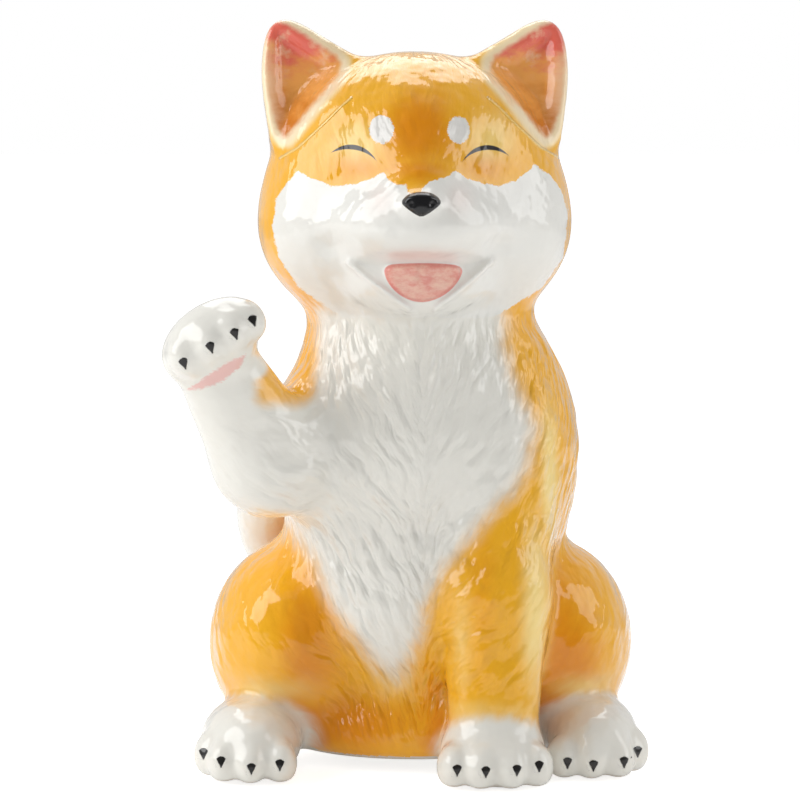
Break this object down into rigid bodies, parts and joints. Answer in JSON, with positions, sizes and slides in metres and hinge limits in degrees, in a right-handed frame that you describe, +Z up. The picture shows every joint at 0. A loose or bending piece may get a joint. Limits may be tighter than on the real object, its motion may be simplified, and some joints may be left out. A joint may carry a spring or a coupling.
{
  "type": "figural animal coin bank",
  "caption": "Seated smiling dog coin bank in glazed ceramic with a raised forepaw, a coin slot in the nape and a rubber base stopper.",
  "frame": {"origin": "middle of the footprint, on the surface the bank stands on", "axes": "+Z up, -Y the way the dog faces, +X the dog's left, its standing forepaw's side"},
  "size_m": [0.1588, 0.1532, 0.25],
  "materials": {
    "glaze": "clear gloss glaze over sprayed orange and white with hand-painted details",
    "rubber": "soft matt moulded",
    "pad": "matt foam"
  },
  "bodies": {
    "bank": {"ceramic_body": "glaze", "pad_front_paw": "pad", "pad_hind_right": "pad", "pad_hind_left": "pad", "pad_tail_root": "pad"},
    "stopper": {"base_stopper": "rubber"}
  },
  "joints": [
    {"name": "stopper_pull", "type": "slide", "parent": "bank", "child": "stopper", "axis": [0, 0, -1], "range_m": [0, 0.045]}
  ]
}
